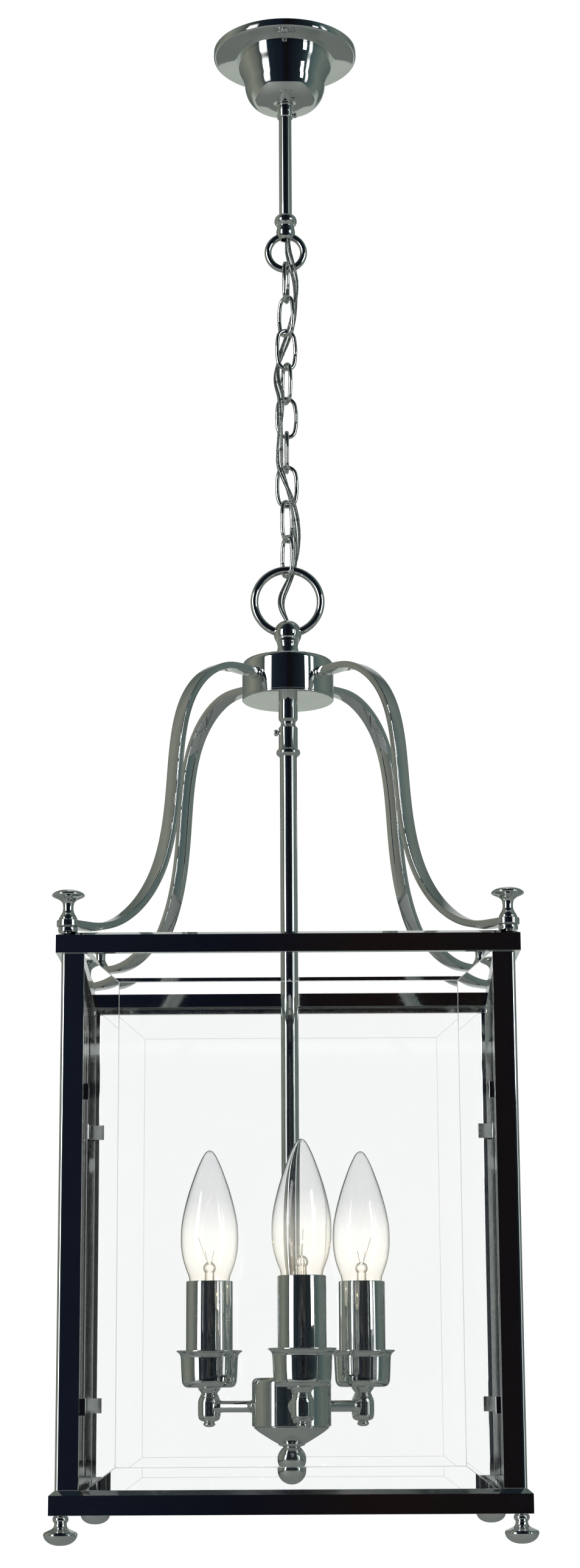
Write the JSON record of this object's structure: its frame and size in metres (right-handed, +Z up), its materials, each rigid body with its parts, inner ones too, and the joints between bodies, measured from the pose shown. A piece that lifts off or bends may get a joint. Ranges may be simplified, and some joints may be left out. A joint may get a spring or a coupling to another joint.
{
  "type": "hanging lantern",
  "caption": "Square hanging lantern: chrome frame with bevelled glass sides round a candle cluster, carried by bent arms on a chain below a ceiling canopy.",
  "frame": {"origin": "centre of the ceiling bracket's top face, on the ceiling", "axes": "+Z up, -Y towards the viewer of the front pane, +X to that viewer's right"},
  "size_m": [0.258, 0.258, 0.9082],
  "materials": {
    "chrome": "polished",
    "clear_glass": "clear, bevelled edges",
    "bulb_glass": "clear",
    "bulb_cap": "satin",
    "terminal_plastic": "matte",
    "galvanised_steel": "zinc plated",
    "copper": "bare copper",
    "flex_clear": "clear sheath over twisted conductors"
  },
  "bodies": {
    "ceiling": {"ceiling_bracket": "galvanised_steel", "rod_nuts": "galvanised_steel", "terminal_block": "terminal_plastic", "supply_cores": "copper", "hanging_rod": "chrome", "upper_loop": "chrome", "flex_cord": "flex_clear"},
    "canopy": {"canopy": "chrome", "canopy_collar": "chrome", "collar_screw": "chrome", "canopy_screws": "chrome"},
    "link_1": {"chain_link_1": "chrome"},
    "link_2": {"chain_link_2": "chrome"},
    "link_3": {"chain_link_3": "chrome"},
    "link_4": {"chain_link_4": "chrome"},
    "link_5": {"chain_link_5": "chrome"},
    "link_6": {"chain_link_6": "chrome"},
    "link_7": {"chain_link_7": "chrome"},
    "link_8": {"chain_link_8": "chrome"},
    "link_9": {"chain_link_9": "chrome"},
    "lantern": {"hub_nut": "galvanised_steel", "lampholders": "terminal_plastic", "stem_flex": "flex_clear", "lower_loop": "chrome", "hub_drum": "chrome", "hub_plate": "chrome", "hanger_arm_front_left": "chrome", "hanger_arm_front_right": "chrome", "hanger_arm_back_right": "chrome", "hanger_arm_back_left": "chrome", "arm_studs": "chrome", "foot_spacers": "chrome", "stem_coupler": "chrome", "coupler_screw": "chrome", "stem_tube": "chrome", "top_rails": "chrome", "bottom_rails": "chrome", "corner_post_front_left": "chrome", "corner_post_front_right": "chrome", "corner_post_back_right": "chrome", "corner_post_back_left": "chrome", "glass_clips": "chrome", "top_finials": "chrome", "bottom_finials": "chrome", "cluster_body": "chrome", "cluster_finial": "chrome", "cluster_arms": "chrome", "candle_fittings": "chrome", "candle_cups": "chrome", "candle_sleeves": "chrome", "glass_pane_front": "clear_glass", "glass_pane_right": "clear_glass", "glass_pane_back": "clear_glass", "glass_pane_left": "clear_glass"},
    "bulb_1": {"bulb_glass_1": "bulb_glass", "bulb_base_1": "bulb_cap"},
    "bulb_2": {"bulb_glass_2": "bulb_glass", "bulb_base_2": "bulb_cap"},
    "bulb_3": {"bulb_glass_3": "bulb_glass", "bulb_base_3": "bulb_cap"}
  },
  "joints": [
    {"name": "canopy_slide", "type": "slide", "parent": "ceiling", "child": "canopy", "axis": [0, 0, 1], "range_m": [-0.06, 0]},
    {"name": "link_1_swing", "type": "hinge", "parent": "ceiling", "child": "link_1", "pos_m": [0, 0, -0.1472], "axis": [1, 0, 0], "range_deg": [-15, 15], "deforming": ["flex_cord"]},
    {"name": "link_2_swing", "type": "hinge", "parent": "link_1", "child": "link_2", "pos_m": [0, 0, -0.16853], "axis": [0.1736, 0.9848, 0], "range_deg": [-15, 15], "deforming": ["flex_cord"]},
    {"name": "link_3_swing", "type": "hinge", "parent": "link_2", "child": "link_3", "pos_m": [0, 0, -0.19081], "axis": [-0.7071, 0.7071, 0], "range_deg": [-15, 15], "deforming": ["flex_cord"]},
    {"name": "link_4_swing", "type": "hinge", "parent": "link_3", "child": "link_4", "pos_m": [0, 0, -0.21309], "axis": [0.9397, 0.342, 0], "range_deg": [-15, 15], "deforming": ["flex_cord"]},
    {"name": "link_5_swing", "type": "hinge", "parent": "link_4", "child": "link_5", "pos_m": [0, 0, -0.23537], "axis": [-0.4226, 0.9063, 0], "range_deg": [-15, 15], "deforming": ["flex_cord"]},
    {"name": "link_6_swing", "type": "hinge", "parent": "link_5", "child": "link_6", "pos_m": [0, 0, -0.25765], "axis": [0.9781, 0.2079, 0], "range_deg": [-15, 15], "deforming": ["flex_cord"]},
    {"name": "link_7_swing", "type": "hinge", "parent": "link_6", "child": "link_7", "pos_m": [0, 0, -0.27993], "axis": [-0.0349, 0.9994, 0], "range_deg": [-15, 15], "deforming": ["flex_cord"]},
    {"name": "link_8_swing", "type": "hinge", "parent": "link_7", "child": "link_8", "pos_m": [0, 0, -0.30221], "axis": [1, 0, 0], "range_deg": [-15, 15], "deforming": ["flex_cord"]},
    {"name": "link_9_swing", "type": "hinge", "parent": "link_8", "child": "link_9", "pos_m": [0, 0, -0.32449], "axis": [0.5, 0.866, 0], "range_deg": [-15, 15], "deforming": ["flex_cord"]},
    {"name": "lantern_swing", "type": "hinge", "parent": "link_9", "child": "lantern", "pos_m": [0, 0, -0.34677], "axis": [-0.5, 0.866, 0], "range_deg": [-15, 15], "deforming": ["flex_cord"]},
    {"name": "bulb_1_withdraw", "type": "slide", "parent": "lantern", "child": "bulb_1", "axis": [0, 0, 1], "range_m": [0, 0.03]},
    {"name": "bulb_2_withdraw", "type": "slide", "parent": "lantern", "child": "bulb_2", "axis": [0, 0, 1], "range_m": [0, 0.03]},
    {"name": "bulb_3_withdraw", "type": "slide", "parent": "lantern", "child": "bulb_3", "axis": [0, 0, 1], "range_m": [0, 0.03]}
  ]
}
